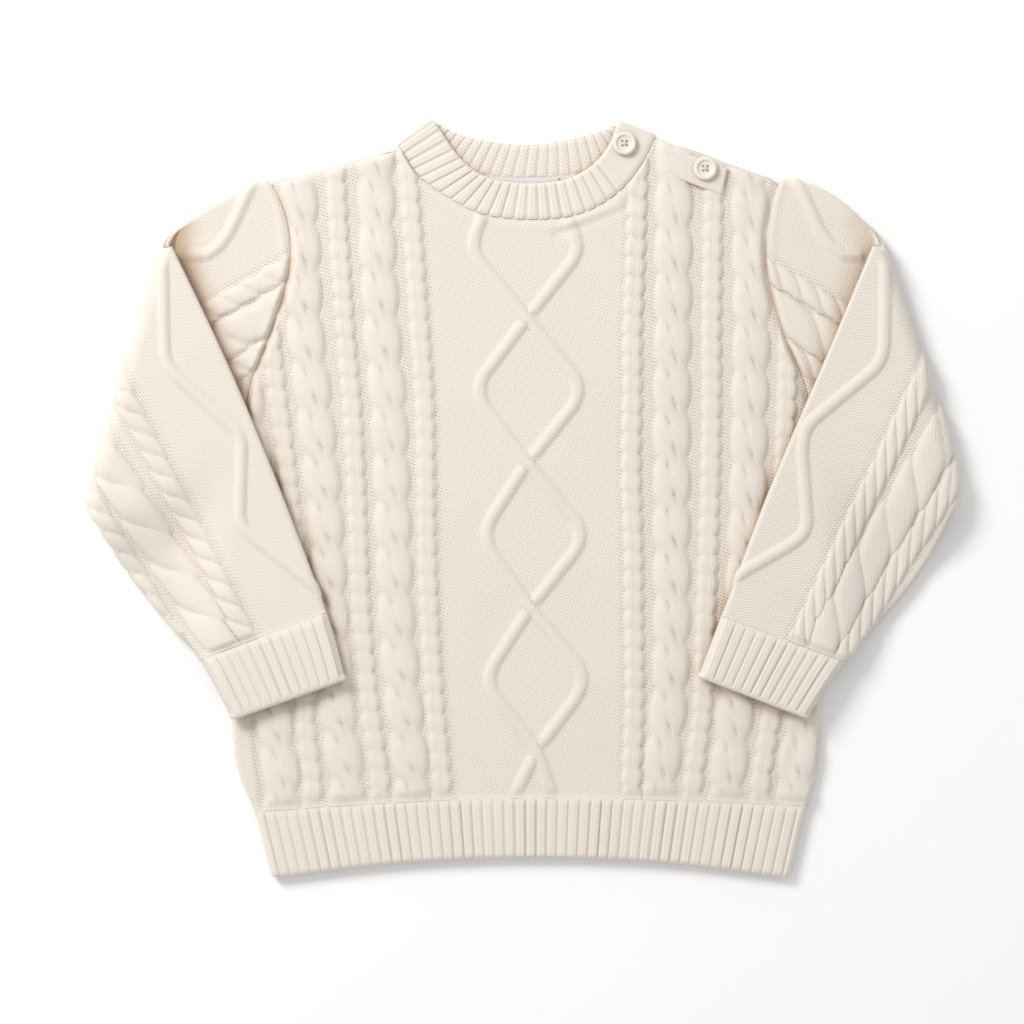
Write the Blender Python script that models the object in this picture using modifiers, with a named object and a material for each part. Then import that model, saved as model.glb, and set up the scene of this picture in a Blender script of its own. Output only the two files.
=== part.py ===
"""A toddler's cable knit pullover, laid flat on its back with both sleeves folded over the front.

The garment is built from the pieces that a maker knits and sews: a front and a back with their hem
ribs, two set-in sleeves with cuffs, a neckband that opens on the wearer's left shoulder, a small
button tab on that shoulder, a blank neck label and two four-hole buttons. Each piece of cloth is a
wall of knitted fabric. +X is the wearer's left, +Y points to the collar and +Z is up.
Lengths below are in millimetres and are scaled to metres when a mesh is made.
"""
import math

import bmesh
import bpy
import numpy as np

MM = 0.001

# --- Driving dimensions -----------------------------------------------------------------------
WALL = 2.6                      # thickness of the knitted cloth
SLACK = 1.2                     # room between two layers that lie on each other
LAYER = 2 * WALL + SLACK        # height of a flattened tube, and of the body at its sides
SEAM = 0.35                     # gap between two pieces at a seam
NECK_EASE = 7.0                 # a shoulder's rounded edge fades out over this next to the neckband
CORNER_ROOM = 2.0               # extra gap at the two ends of an armhole, where three edges meet
LIP = 0.3                       # share of the rounded edge that stands upright at a seam
RIM = 0.02                      # distance over which that lip rises
EDGE_STEPS = (0.0, RIM, 0.4, 1.4, 3.3)    # rows of points round a rounded edge, from the seam
DOME = 1.2                      # how much the middle of the front stands above its sides
FOLD_ROOM = 2.0                 # room between the two legs of a folded sleeve
FOLD_RADIUS = LAYER + FOLD_ROOM / 2
FOLD_HEIGHT = 2 * FOLD_RADIUS   # height of a folded sleeve
DRAPE = 7.4                     # how far a forearm sags to the table beside the body
DRAPE_RUN = 34.0                # distance over which it sags
CORNER_UPPER = 7.0              # rounding of the fold's two corners, in plan
CORNER_LOWER = 4.0
FOLD_RAISE = {"sleeve_right": 11.0, "sleeve_left": 14.0}    # the shoulder side of a fold starts higher
PUFF = 3.5                      # how far the top of a sleeve swells over a straight edge
CUFF_GAP = 0.025                # gap at the cuff seam, as a share of the cuff's depth
BAND_WALL = 2.4                 # thickness of the neckband
TAB_WALL = 1.4                  # thickness of the button tab
TAB_DEPTH = 16.5                # the tab's size down from the shoulder
LABEL_WALL = 0.5
BUTTON_RADIUS = 6.0
HOLE_RADIUS = 0.65
HOLE_CIRCLE = 1.45
CENTRE_SHIFT = (0.35, -1.05)    # brings the middle of the outline to the origin

# --- Outline of the body, a row for each height, from the hem seam to the shoulder tips ------
#    y      left    right
BODY_SIDES = [
    (-156, -136.0, 142.0),      # hem seam
    (-140, -143.0, 147.0),
    (-110, -147.5, 149.5),      # the body blouses over the rib
    (-50, -145.5, 147.5),
    (0, -143.0, 146.5),
    (32, -141.0, 145.5),        # underarm
    (57, -137.5, 140.5),
    (85, -127.0, 129.0),
    (122, -117.3, 120.5),       # armhole at its deepest
    (143, -120.0, 122.5),
    (160, -127.0, 127.0),       # shoulder tip
]
UNDERARM = 32
ARMHOLE_START = 37              # above this height the body's edge is an armhole
BODY_HEIGHT = BODY_SIDES[-1][0] - BODY_SIDES[0][0]
BODY_WIDTH = 290                # about the same at every height
HEM_WIDTH = 265

#    x      y
HEM_SEAM = [(-136, -156), (-60, -151), (4, -149), (70, -150), (142, -153)]
HEM_EDGE = [(-127.5, -189.5), (-60, -181.5), (4, -179), (70, -181.5), (133.5, -189.5)]
SHOULDER_RIGHT_ARM = [(-127, 160), (-112, 163), (-87, 170)]
SHOULDER_LEFT_ARM = [(82, 176.5), (102, 169), (127, 160)]

# Neckband, a row for each section: its sewn edge and its free edge
#                sewn x, y      free x, y
BAND_FRONT = [
    (-62.5, 176.5, -45.0, 189.0),    # fold over the wearer's right shoulder
    (-53.5, 163.0, -33.5, 172.5),
    (-38.0, 151.5, -23.0, 163.5),
    (-20.0, 143.0, -12.0, 160.0),
    (4.0, 140.5, 4.0, 158.5),        # front centre
    (27.0, 143.2, 21.5, 161.0),
    (45.0, 153.0, 34.0, 168.0),
    (57.5, 167.0, 42.0, 178.0),
    (65.5, 182.5, 46.5, 190.0),      # buttoned end
]
BAND_BACK = [
    (-62.5, 176.5, -45.0, 189.0),
    (-38.0, 166.0, -27.0, 181.5),
    (0.0, 161.0, 3.0, 178.0),        # back centre
    (38.0, 166.0, 32.0, 183.0),
    (62.5, 180.5, 45.5, 188.0),      # end under the buttons
]
BAND_FOLD = LAYER / 2                # radius of the band's fold

# Sleeves, a row for each section from the fold to the cuff's edge: upper edge, then lower edge
#                upper x, y       lower x, y
SLEEVES = {
    "sleeve_right": [
        (-175.5, 127.5, -214.0, -11.0),   # axis of the fold
        (-147.5, 68.5, -199.0, -35.5),
        (-121.8, 7.0, -180.5, -59.0),
        (-98.0, -56.0, -163.0, -80.0),    # cuff seam
        (-88.5, -89.5, -146.5, -110.0),   # cuff edge
    ],
    "sleeve_left": [
        (172.9, 127.9, 213.5, -7.0),
        (148.5, 70.0, 200.0, -34.0),
        (121.5, 7.0, 181.0, -58.5),
        (97.0, -57.5, 160.5, -81.0),
        (85.5, -88.0, 141.5, -109.5),
    ],
}

BUTTONS = {"button_neck": (49.75, 178.25), "button_shoulder": (90.0, 165.5)}

CLOTH = (0.83, 0.77, 0.68)
BUTTON_CREAM = (0.84, 0.79, 0.67)


# --- Curves ---------------------------------------------------------------------------------
def smooth(knots, values, t):
    """Cubic curve through values at knots, evaluated at t."""
    knots = np.asarray(knots, float)
    values = np.asarray(values, float)
    slopes = np.gradient(values, knots, axis=0)
    i = int(np.clip(np.searchsorted(knots, t) - 1, 0, len(knots) - 2))
    step = knots[i + 1] - knots[i]
    s = min(max((t - knots[i]) / step, 0.0), 1.0)
    near = (1 + 2 * s) * (1 - s) ** 2 * values[i] + s * (1 - s) ** 2 * step * slopes[i]
    far = s * s * (3 - 2 * s) * values[i + 1] - s * s * (1 - s) * step * slopes[i + 1]
    return near + far


def along(points, x):
    """Height of an outline given as (x, y) points."""
    return float(smooth([p[0] for p in points], [p[1] for p in points], x))


def section(rows, t):
    """One row of a table of sections, t counted in rows."""
    return smooth(range(len(rows)), rows, t)


def ease(t):
    t = min(max(t, 0.0), 1.0)
    return t * t * (3 - 2 * t)


def quarter_round(distance, radius):
    """Rises from 0 at an edge, up a short upright lip, then to 1 at the radius in a quarter circle."""
    t = min(max(distance / radius, 0.0), 1.0)
    lip = LIP * min(max(distance / RIM, 0.0), 1.0)
    return lip + (1 - LIP) * math.sqrt(1 - (1 - t) ** 2) * (distance > RIM)


# --- The body's plan and height -----------------------------------------------------------------
def side_x(y, side):
    """Outline of the body at height y; side is -1 at the wearer's right and 1 at the left."""
    column = 1 if side < 0 else 2
    return float(smooth([r[0] for r in BODY_SIDES], [r[column] for r in BODY_SIDES], y))


def dome(x, y):
    """Extra height of the front over the space between front and back."""
    return DOME * max(0.0, 1 - (x / 140) ** 2) * max(0.0, 1 - ((y + 20) / 190) ** 2)


def neckline(face):
    """Sewn edge of the neckband on one face, moved out by the gap of the seam."""
    table = BAND_FRONT if face == "front" else BAND_BACK
    edge = []
    for k in range(2 * len(table) - 1):
        row = section(table, k / 2)
        sewn, free = row[:2], row[2:]
        edge.append(sewn + (sewn - free) / np.linalg.norm(sewn - free) * SEAM)
    return np.array(edge)


NECK = {face: neckline(face) for face in ("front", "back")}


def top_y(x, face):
    """Upper edge of a body panel: shoulder, neckline, shoulder."""
    neck = NECK[face]
    if x < neck[0][0]:
        return along(SHOULDER_RIGHT_ARM + [tuple(neck[0])], x)
    if x > neck[-1][0]:
        return along([tuple(neck[-1])] + SHOULDER_LEFT_ARM, x)
    return float(np.interp(x, neck[:, 0], neck[:, 1]))


def panel_plan(face, u, v):
    """Plan position on a body panel: u runs right to left across it, v from hem to shoulder."""
    _, tip_left, tip_right = BODY_SIDES[-1]
    ends = [side_plan(-1, v), side_plan(1, v)]
    hem_x = (1 - u) * HEM_SEAM[0][0] + u * HEM_SEAM[-1][0]
    hem = np.array([hem_x, along(HEM_SEAM, hem_x) + SEAM])
    top_x = (1 - u) * tip_left + u * tip_right
    top = np.array([top_x, top_y(top_x, face)])
    corners = [side_plan(-1, 0), side_plan(1, 0), side_plan(-1, 1), side_plan(1, 1)]
    flat = (1 - v) * ((1 - u) * corners[0] + u * corners[1])
    flat = flat + v * ((1 - u) * corners[2] + u * corners[3])
    return (1 - u) * ends[0] + u * ends[1] + (1 - v) * hem + v * top - flat


def side_plan(side, v):
    hem_y = HEM_SEAM[0][1] if side < 0 else HEM_SEAM[-1][1]
    y = (1 - v) * hem_y + v * BODY_SIDES[-1][0]
    return np.array([side_x(y, side), y + SEAM * (1 - v)])


def edge_curl(face, u, v):
    """1 where a panel lies flat, falling to 0 at its side seams and shoulder seams."""
    x, y = panel_plan(face, u, v)
    width = side_x(y, 1) - side_x(y, -1)
    radius = LAYER / 2
    to_side = min(u, 1 - u) * width
    armhole = ease((y - UNDERARM) / (ARMHOLE_START - UNDERARM))
    side = 1 - (1 - armhole) * (1 - quarter_round(to_side, radius))
    to_top = (1 - v) * BODY_HEIGHT
    neck = NECK[face]
    off_neck = max(neck[0][0] - x, x - neck[-1][0])
    shoulder = ease((off_neck + 1) / NECK_EASE)
    top = 1 - shoulder * (1 - quarter_round(to_top, radius))
    return side * top


def panel_point(face, u, v, lift=0.0):
    x, y = panel_plan(face, u, v)
    curl = edge_curl(face, u, v)
    seam_z = (LAYER + SEAM) / 2 if face == "front" else (LAYER - SEAM) / 2
    flat_z = LAYER + dome(x, y) if face == "front" else 0.0
    return (x, y, seam_z + (flat_z - seam_z) * curl + lift)


# --- Sleeves --------------------------------------------------------------------------------------
def armhole_plan(side, v):
    """Sewn end of a sleeve, from the shoulder tip (v = 0) to the underarm (v = 1)."""
    y = (1 - v) * BODY_SIDES[-1][0] + v * UNDERARM
    room = SEAM + CORNER_ROOM * (2 * v - 1) ** 6
    return np.array([side_x(y, side) + side * room, y])


def fold_axis(name):
    """Upper end, lower end and outward direction of the line that a sleeve is folded about."""
    row = np.array(SLEEVES[name][0])
    upper, lower = row[:2], row[2:]
    run = (upper - lower) / np.linalg.norm(upper - lower)
    outward = np.array([-run[1], run[0]])
    side = 1 if name.endswith("left") else -1
    return upper, lower, outward * np.sign(outward[0]) * side


def forearm_sag(name, x, y):
    """How far the folded forearm hangs below the height of the layers beside it."""
    side = 1 if name.endswith("left") else -1
    under = armhole_plan(side, 1.0)
    lower = fold_axis(name)[1]
    run = (lower - under) / np.linalg.norm(lower - under)
    below = abs(run[0]) * (under[1] + (x - under[0]) * run[1] / run[0] - y)
    beside = side * (x - side_x(y, side))
    return DRAPE * ease(below / DRAPE_RUN) * ease(beside / DRAPE_RUN)


def flat_ring(width, ends=3, runs=5):
    """Loop round a flattened tube as (distance across, height) pairs, top layer first."""
    radius = LAYER / 2
    loop = []
    for k in range(runs + 1):
        loop.append((radius + (width - 2 * radius) * k / runs, LAYER))
    for k in range(1, ends):
        angle = math.pi * k / ends
        loop.append((width - radius + radius * math.sin(angle), radius + radius * math.cos(angle)))
    for k in range(runs + 1):
        loop.append((width - radius - (width - 2 * radius) * k / runs, 0.0))
    for k in range(1, ends):
        angle = math.pi * k / ends
        loop.append((radius - radius * math.sin(angle), radius - radius * math.cos(angle)))
    return loop


def upper_arm_ring(name, t):
    """Section of the sleeve that lies on the table, t = 0 at the armhole and 1 at the fold."""
    side = 1 if name.endswith("left") else -1
    upper, lower, _ = fold_axis(name)
    upper = upper + (upper - lower) / np.linalg.norm(upper - lower) * FOLD_RAISE[name]
    width = np.linalg.norm(armhole_plan(side, 0) - armhole_plan(side, 1)) * (1 - t)
    width += np.linalg.norm(upper - lower) * t
    ring = []
    for across, height in flat_ring(width):
        v = across / width
        plan = (1 - t) * armhole_plan(side, v) + t * ((1 - v) * upper + v * lower)
        x, y = plan + puff(side, t, v, upper)
        ring.append((x, y, height))
    return ring


def puff(side, t, v, upper):
    """Swelling of the top of the sleeve, strongest near the armhole."""
    chord = upper - armhole_plan(side, 0)
    away = np.array([-chord[1], chord[0]]) / np.linalg.norm(chord) * side
    s = t ** 0.55
    return away * PUFF * (1 - v) ** 2 * 4 * s * (1 - s)


def fold_ring(name, turn):
    """Section of the sleeve as it turns over the fold, turn in radians."""
    upper, lower, outward = fold_axis(name)
    width = np.linalg.norm(upper - lower)
    run = (lower - upper) / width
    bulge = math.sin(turn)
    start = CORNER_UPPER * bulge - FOLD_RAISE[name] * (1 + math.cos(turn)) / 2
    inner_width = width - start - CORNER_LOWER * bulge
    ring = []
    for across, height in flat_ring(inner_width):
        reach = FOLD_RADIUS - height
        plan = upper + run * (start + across) + outward * (reach * bulge)
        ring.append((plan[0], plan[1], FOLD_RADIUS - reach * math.cos(turn)))
    return ring


def forearm_ring(name, t):
    """Section of the sleeve that lies folded on the front, t counted in rows of its table."""
    row = section(SLEEVES[name], t)
    upper, lower = row[:2], row[2:]
    width = np.linalg.norm(upper - lower)
    ring = []
    for across, height in flat_ring(width):
        v = across / width
        x, y = (1 - v) * upper + v * lower
        z = FOLD_HEIGHT - height + dome(x, y) - forearm_sag(name, x, y)
        ring.append((x, y, z))
    return ring


# --- Mesh helpers --------------------------------------------------------------------------------
def start():
    for item in list(bpy.data.objects):
        bpy.data.objects.remove(item, do_unlink=True)


def collection(name):
    group = bpy.data.collections.new(name)
    bpy.context.scene.collection.children.link(group)
    return group


def material(name, colour, roughness):
    result = bpy.data.materials.new(name)
    result.use_nodes = True
    shader = result.node_tree.nodes["Principled BSDF"]
    shader.inputs["Base Color"].default_value = (*colour, 1)
    shader.inputs["Roughness"].default_value = roughness
    shader.inputs["Metallic"].default_value = 0.0
    return result


def place(name, mesh, group, finish):
    item = bpy.data.objects.new(name, mesh)
    mesh.materials.append(finish)
    group.objects.link(item)
    return item


def cloth(name, rows, wall, group, closed=False, flip=False):
    """A wall of cloth: an open surface through rows of points, thickened inwards."""
    count = len(rows[0])
    points = [
        ((p[0] + CENTRE_SHIFT[0]) * MM, (p[1] + CENTRE_SHIFT[1]) * MM, p[2] * MM)
        for row in rows
        for p in row
    ]
    faces = []
    for r in range(len(rows) - 1):
        for c in range(count if closed else count - 1):
            d = (c + 1) % count
            face = (r * count + c, r * count + d, (r + 1) * count + d, (r + 1) * count + c)
            faces.append(face[::-1] if flip else face)
    mesh = bpy.data.meshes.new(name)
    mesh.from_pydata(points, [], faces)
    mesh.shade_smooth()
    item = place(name, mesh, group, material(name + "_knit", CLOTH, 0.92))
    thicken = item.modifiers.new("Cloth thickness", "SOLIDIFY")
    thicken.thickness = wall * MM
    thicken.offset = -1
    thicken.use_even_offset = True
    return item


def blend_steps(*runs):
    """Joins runs of (start, stop, count) into one rising list."""
    steps = []
    for first, last, count in runs:
        steps += [first + (last - first) * k / count for k in range(count)]
    return steps + [runs[-1][1]]


# --- Pieces --------------------------------------------------------------------------------------
def across_steps(face):
    """Columns of a body panel: close together at the sides, and one at each point of the neckline."""
    _, tip_left, tip_right = BODY_SIDES[-1]
    rim = [d / BODY_WIDTH for d in EDGE_STEPS]
    neck = [(x - tip_left) / (tip_right - tip_left) for x in NECK[face][:, 0]]
    near_neck = NECK_EASE / (tip_right - tip_left)
    middle = [0.05, 0.12, 0.2, neck[0] - near_neck, *neck, neck[-1] + near_neck, 0.86, 0.95]
    return rim + middle + [1 - s for s in reversed(rim)]


def up_steps():
    """Rows of a body panel, from the hem to the shoulders."""
    underarm = (UNDERARM - BODY_SIDES[0][0]) / BODY_HEIGHT
    armhole = (ARMHOLE_START - BODY_SIDES[0][0]) / BODY_HEIGHT
    body = blend_steps((0.0, 0.1, 2), (0.2, underarm, 4), (armhole, 0.97, 6))
    return body + [1 - d / BODY_HEIGHT for d in reversed(EDGE_STEPS)]


def body_panel(name, face, group):
    rows = [[panel_point(face, u, v) for u in across_steps(face)] for v in up_steps()]
    cloth(name, rows, WALL, group, flip=face == "back")


def hem_rib(name, face, group):
    """Ribbed welt below a body panel."""
    rows = []
    for t in (0.0, 0.5, 1.0):
        row = []
        for u in across_steps(face):
            top_x = (1 - u) * HEM_SEAM[0][0] + u * HEM_SEAM[-1][0]
            edge_x = (1 - u) * HEM_EDGE[0][0] + u * HEM_EDGE[-1][0]
            x = (1 - t) * edge_x + t * top_x
            y = (1 - t) * along(HEM_EDGE, edge_x) + t * along(HEM_SEAM, top_x)
            curl = quarter_round(min(u, 1 - u) * HEM_WIDTH, LAYER / 2)
            seam_z = (LAYER + SEAM) / 2 if face == "front" else (LAYER - SEAM) / 2
            flat_z = LAYER + dome(x, y) if face == "front" else 0.0
            row.append((x, y, seam_z + (flat_z - seam_z) * curl))
        rows.append(row)
    cloth(name, rows, WALL, group, flip=face == "back")


def sleeve(name, group):
    turns = [math.pi * k / 6 for k in range(1, 6)]
    rings = [upper_arm_ring(name, t) for t in (0.0, 0.12, 0.4, 0.7, 1.0)]
    rings += [fold_ring(name, turn) for turn in turns]
    rings += [forearm_ring(name, t) for t in (0.0, 0.3, 0.75, 1.2, 1.65, 2.1, 2.55, 3.0)]
    cloth(name, rings, WALL, group, closed=True, flip=name.endswith("right"))


def cuff(name, sleeve_name, group):
    rings = [forearm_ring(sleeve_name, t) for t in (3.0 + CUFF_GAP, 3.5, 4.0)]
    cloth(name, rings, WALL, group, closed=True, flip=name.endswith("right"))


def neckband(group):
    """Ribbed band round the neck, folded at the wearer's right and open at the buttoned end."""
    rows = []
    depth = (0.0, 0.5, 1.0)
    for t in [k * 0.5 for k in range(8, 0, -1)]:
        rows.append([band_point(BAND_BACK, t, d, 0.0) for d in depth])
    for k in range(5):
        rows.append([band_fold_point(d, math.pi * k / 4) for d in depth])
    for t in [k * 0.5 for k in range(1, 17)]:
        rows.append([band_point(BAND_FRONT, t, d, LAYER) for d in depth])
    cloth("neckband", rows, BAND_WALL, group, flip=True)


def band_point(table, t, depth, height):
    row = section(table, t)
    sewn, free = row[:2], row[2:]
    x, y = (1 - depth) * sewn + depth * free
    lift = dome(x, y) if height > 0 else 0.0
    return (x, y, height + lift)


def band_fold_point(depth, turn):
    row = np.array(BAND_FRONT[0])
    sewn, free = row[:2], row[2:]
    run = (free - sewn) / np.linalg.norm(free - sewn)
    outward = np.array([-run[1], run[0]])
    x, y = (1 - depth) * sewn + depth * free + outward * BAND_FOLD * math.sin(turn)
    z = BAND_FOLD * (1 - math.cos(turn)) + dome(x, y) * turn / math.pi
    return (x, y, z)


def button_tab(group):
    """Plain tab that fastens over the shoulder, lying on the front panel."""
    rows = []
    start = LAYER / 2 + 0.2
    for down in (1.0, 0.75, 0.5, 0.25, 0.1, 0.0):
        row = []
        for x in (70.5, 78, 86, 94, 102):
            u = (x - BODY_SIDES[-1][1]) / (BODY_SIDES[-1][2] - BODY_SIDES[-1][1])
            v = 1 - (start + (TAB_DEPTH - start) * down) / BODY_HEIGHT
            row.append(panel_point("front", u, v, SEAM + TAB_WALL))
        rows.append(row)
    cloth("shoulder_tab", rows, TAB_WALL, group)


def neck_label(group):
    """Blank woven label sewn inside the back of the neck."""
    top = WALL + 0.3 + LABEL_WALL
    rows = [[(x, y, top) for x in (-17, 17)] for y in (146, 160.3)]
    cloth("neck_label", rows, LABEL_WALL, group)


def button(name, group, cutters, base_z):
    """Turned four-hole button with a raised rim."""
    radius = BUTTON_RADIUS
    profile = [
        (0.0, 1.7), (3.4, 1.8), (4.2, 2.4), (4.9, 2.6), (5.6, 2.3), (radius, 1.5),
        (5.7, 0.6), (4.6, 0.0), (0.0, 0.0),
    ]
    mesh = bpy.data.meshes.new(name)
    points = [(r * MM, 0.0, z * MM) for r, z in profile]
    mesh.from_pydata(points, [(k, k + 1) for k in range(len(points) - 1)], [])
    item = place(name, mesh, group, material(name + "_plastic", BUTTON_CREAM, 0.4))
    x, y = BUTTONS[name]
    item.location = ((x + CENTRE_SHIFT[0]) * MM, (y + CENTRE_SHIFT[1]) * MM, base_z * MM)
    turn = item.modifiers.new("Turned profile", "SCREW")
    turn.steps = turn.render_steps = 28
    turn.use_merge_vertices = True
    turn.merge_threshold = 0.00001
    cut = item.modifiers.new("Thread holes", "BOOLEAN")
    cut.operation = "DIFFERENCE"
    cut.solver = "EXACT"
    cut.object = thread_holes(name, item.location, cutters)


def thread_holes(name, location, cutters):
    """Four drills on a circle, as one cutter."""
    mesh = bpy.data.meshes.new(name + "_holes")
    form = bmesh.new()
    for k in range(4):
        angle = math.pi / 4 + k * math.pi / 2
        made = bmesh.ops.create_cone(form, cap_ends=True, segments=10, radius1=HOLE_RADIUS * MM,
                                     radius2=HOLE_RADIUS * MM, depth=8 * MM)
        shift = (HOLE_CIRCLE * math.cos(angle) * MM, HOLE_CIRCLE * math.sin(angle) * MM, 0.0)
        bmesh.ops.translate(form, verts=made["verts"], vec=shift)
    form.to_mesh(mesh)
    form.free()
    item = bpy.data.objects.new(name + "_holes", mesh)
    item.location = location
    item.hide_render = True
    item.display_type = "WIRE"
    cutters.objects.link(item)
    return item


def main():
    start()
    group = collection("cable_knit_sweater")
    cutters = collection("cutters")
    body_panel("back_panel", "back", group)
    body_panel("front_panel", "front", group)
    hem_rib("back_hem_rib", "back", group)
    hem_rib("front_hem_rib", "front", group)
    for name in SLEEVES:
        sleeve(name, group)
        cuff(name.replace("sleeve", "cuff"), name, group)
    neckband(group)
    button_tab(group)
    neck_label(group)
    on_band = LAYER + dome(*BUTTONS["button_neck"]) + SEAM
    on_tab = LAYER + dome(*BUTTONS["button_shoulder"]) + 2 * SEAM + TAB_WALL
    button("button_neck", group, cutters, on_band)
    button("button_shoulder", group, cutters, on_tab)


main()
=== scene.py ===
"""The looks of a toddler's cable knit pullover, laid flat on its back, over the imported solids.

Each piece of cloth is a thin shell on the form of its solid. Its outer skin is a fine grid of
points on that form, with the cables, ropes, travelling stitches, ribs and creases raised in the
mesh; the single stitches are bump. +X is the wearer's left, +Y points to the collar, +Z is up.
Lengths are in millimetres and are scaled to metres when a mesh is made.
"""
import math

import bpy
import numpy as np
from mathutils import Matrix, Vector


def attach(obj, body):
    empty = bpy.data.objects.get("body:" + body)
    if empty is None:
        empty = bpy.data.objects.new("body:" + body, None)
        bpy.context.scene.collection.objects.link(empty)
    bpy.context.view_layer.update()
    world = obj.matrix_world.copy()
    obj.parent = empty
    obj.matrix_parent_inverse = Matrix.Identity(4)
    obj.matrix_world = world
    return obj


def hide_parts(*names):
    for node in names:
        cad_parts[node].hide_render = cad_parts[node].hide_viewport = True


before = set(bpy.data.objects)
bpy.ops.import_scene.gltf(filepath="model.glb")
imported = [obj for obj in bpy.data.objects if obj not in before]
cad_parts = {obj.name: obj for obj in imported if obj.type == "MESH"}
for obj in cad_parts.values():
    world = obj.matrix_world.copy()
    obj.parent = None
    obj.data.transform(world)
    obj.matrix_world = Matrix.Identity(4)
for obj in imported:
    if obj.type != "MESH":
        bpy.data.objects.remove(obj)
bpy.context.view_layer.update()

MM = 0.001
FAR = 1e3  # farther than any distance on the sweater

# --- Form of the solids, as they were built ---
WALL = 2.6  # thickness of the knitted cloth
SLACK = 1.2  # room between two layers that lie on each other
LAYER = 2 * WALL + SLACK  # height of a flattened tube
SEAM = 0.35  # gap between the front's and the back's edges
SEWN = -0.12  # sewn edges run this far into each other, so no gap shows
NECK_EASE = 7.0  # a shoulder's rounded edge fades out over this next to the neckband
DOME = 1.2  # how much the middle of the front stands above its sides
FOLD_RADIUS = LAYER + 1.0  # radius of a sleeve's fold
FOLD_HEIGHT = 2 * FOLD_RADIUS
DRAPE = 7.4  # how far a forearm sags beside the body
DRAPE_RUN = 34.0
CORNER_UPPER = 7.0  # rounding of the fold's two corners, in plan
CORNER_LOWER = 4.0
FOLD_RAISE = {"sleeve_right": 11.0, "sleeve_left": 14.0}  # a fold starts higher at its shoulder end
FOLD_BOW = 1.6  # how far the outer edge of a fold swells
# The hollow beside a fold is sunk into the cloth and also given painted shade
HOLLOW = {"sleeve_right": 1.0, "sleeve_left": 0.4}  # strength of the hollow beside a fold
PUFF = {"sleeve_right": (3.5, 0.55), "sleeve_left": (6.0, 0.8)}  # swelling of the top: size, place
BAND_WALL = 2.4
BAND_FOLD = LAYER / 2
TAB_WALL = 1.4
TAB_DEPTH = 16.5
TAB_SIDES = (70.5, 102.0)
LABEL_WALL = 0.5
LABEL_HALF = 17.0
LABEL_EDGES = (146.0, 161.6)
CENTRE_SHIFT = (0.35, -1.05)  # from the drafting frame of the tables to the model's frame

#    y      right side, left side of the body (x)
BODY_SIDES = [
    (-156, -136, 142),
    (-140, -143, 147),
    (-110, -147.5, 149.5),
    (-50, -145.5, 147.5),
    (0, -143, 146.5),
    (32, -141, 145.5),
    (57, -137.5, 140.5),
    (85, -127, 129),
    (122, -117.3, 120.5),
    (143, -120, 122.5),
    (160, -127, 127),
]
UNDERARM = 32
ARMHOLE_START = 37
BODY_HEIGHT = BODY_SIDES[-1][0] - BODY_SIDES[0][0]
BODY_WIDTH = 290
HEM_WIDTH = 265
HEM_DEPTH = 33
CUFF_DEPTH = 34
BAND_DEPTH = 18
CUFF_START = 2.995  # the cuff's first row among the rows of a forearm
FOREARM_ROW = 66  # length from one row of a forearm to the next
UPPER_ARM = 100  # length from the armhole to the fold
LINING_DEPTH = 2.9  # of a sleeve's inner face, so that it clears the hollow at the fold

#    x      y
HEM_SEAM = [(-136, -156), (-60, -151), (4, -149), (70, -150), (142, -153)]
HEM_EDGE = [(-127.5, -189.5), (-60, -181.5), (4, -179), (70, -181.5), (133.5, -189.5)]
SHOULDER_RIGHT_ARM = [(-127, 160), (-112, 163), (-87, 170)]
SHOULDER_LEFT_ARM = [(82, 176.5), (102, 169), (127, 160)]

#    sewn x, y      free x, y
BAND_FRONT = [
    (-62.5, 176.5, -45, 189),
    (-53.5, 163, -33.5, 172.5),
    (-38, 151.5, -23, 163.5),
    (-20, 143, -12, 160),
    (4, 140.5, 4, 158.5),
    (27, 143.2, 21.5, 161),
    (45, 153, 34, 168),
    (57.5, 167, 42, 178),
    (65.5, 182.5, 46.5, 190),
]
BAND_BACK = [
    (-62.5, 176.5, -45, 189),
    (-38, 166, -27, 181.5),
    (0, 161, 3, 178),
    (38, 166, 32, 183),
    (62.5, 180.5, 45.5, 188),
]

# fold axis, forearm twice, cuff seam, cuff edge: upper x, y, lower x, y
SLEEVES = {
    "sleeve_right": [
        (-175.5, 127.5, -214, -11),
        (-147.5, 68.5, -199, -35.5),
        (-121.8, 7, -180.5, -59),
        (-98, -56, -163, -80),
        (-88.5, -89.5, -146.5, -110),
    ],
    "sleeve_left": [
        (172.9, 127.9, 213.5, -7),
        (148.5, 70, 200, -34),
        (121.5, 7, 181, -58.5),
        (97, -57.5, 160.5, -81),
        (85.5, -88, 141.5, -109.5),
    ],
}
BUTTONS = {"button_neck": (49.75, 178.25), "button_shoulder": (90.0, 165.5)}
HOLE_RADIUS = 0.62
HOLE_SIDES = 28
HOLE_PLACE = 1.45 * math.sqrt(0.5)
HOLES = [(HOLE_PLACE * x, HOLE_PLACE * y) for x, y in ((1, 1), (-1, 1), (-1, -1), (1, -1))]

# --- Knitting ---
GROUND_DROP = 0.7  # purl ground lies this far below the solid's face
CABLE_HALF = 9.2  # half the width of a large cable
CABLE_HEIGHT = 2.5  # above the ground
CABLE_PITCH = 23.1
ROPE_HALF = 4.9
ROPE_HEIGHT = 1.9
ROPE_PITCH = 9.82
TRACE_HALF = 3.3  # travelling stitches of the diamonds
TRACE_HEIGHT = 1.6
RIB_HEIGHT = 1.3
HEM_RIBS = 51
CUFF_RIBS = 11
BAND_RIB = 5.3
RIB_STITCHES = 1.35 * 3  # a rib is three wales wide
WALE = 1.38  # width of one wale of V stitches
STITCH = 1.2  # length of one stitch

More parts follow.
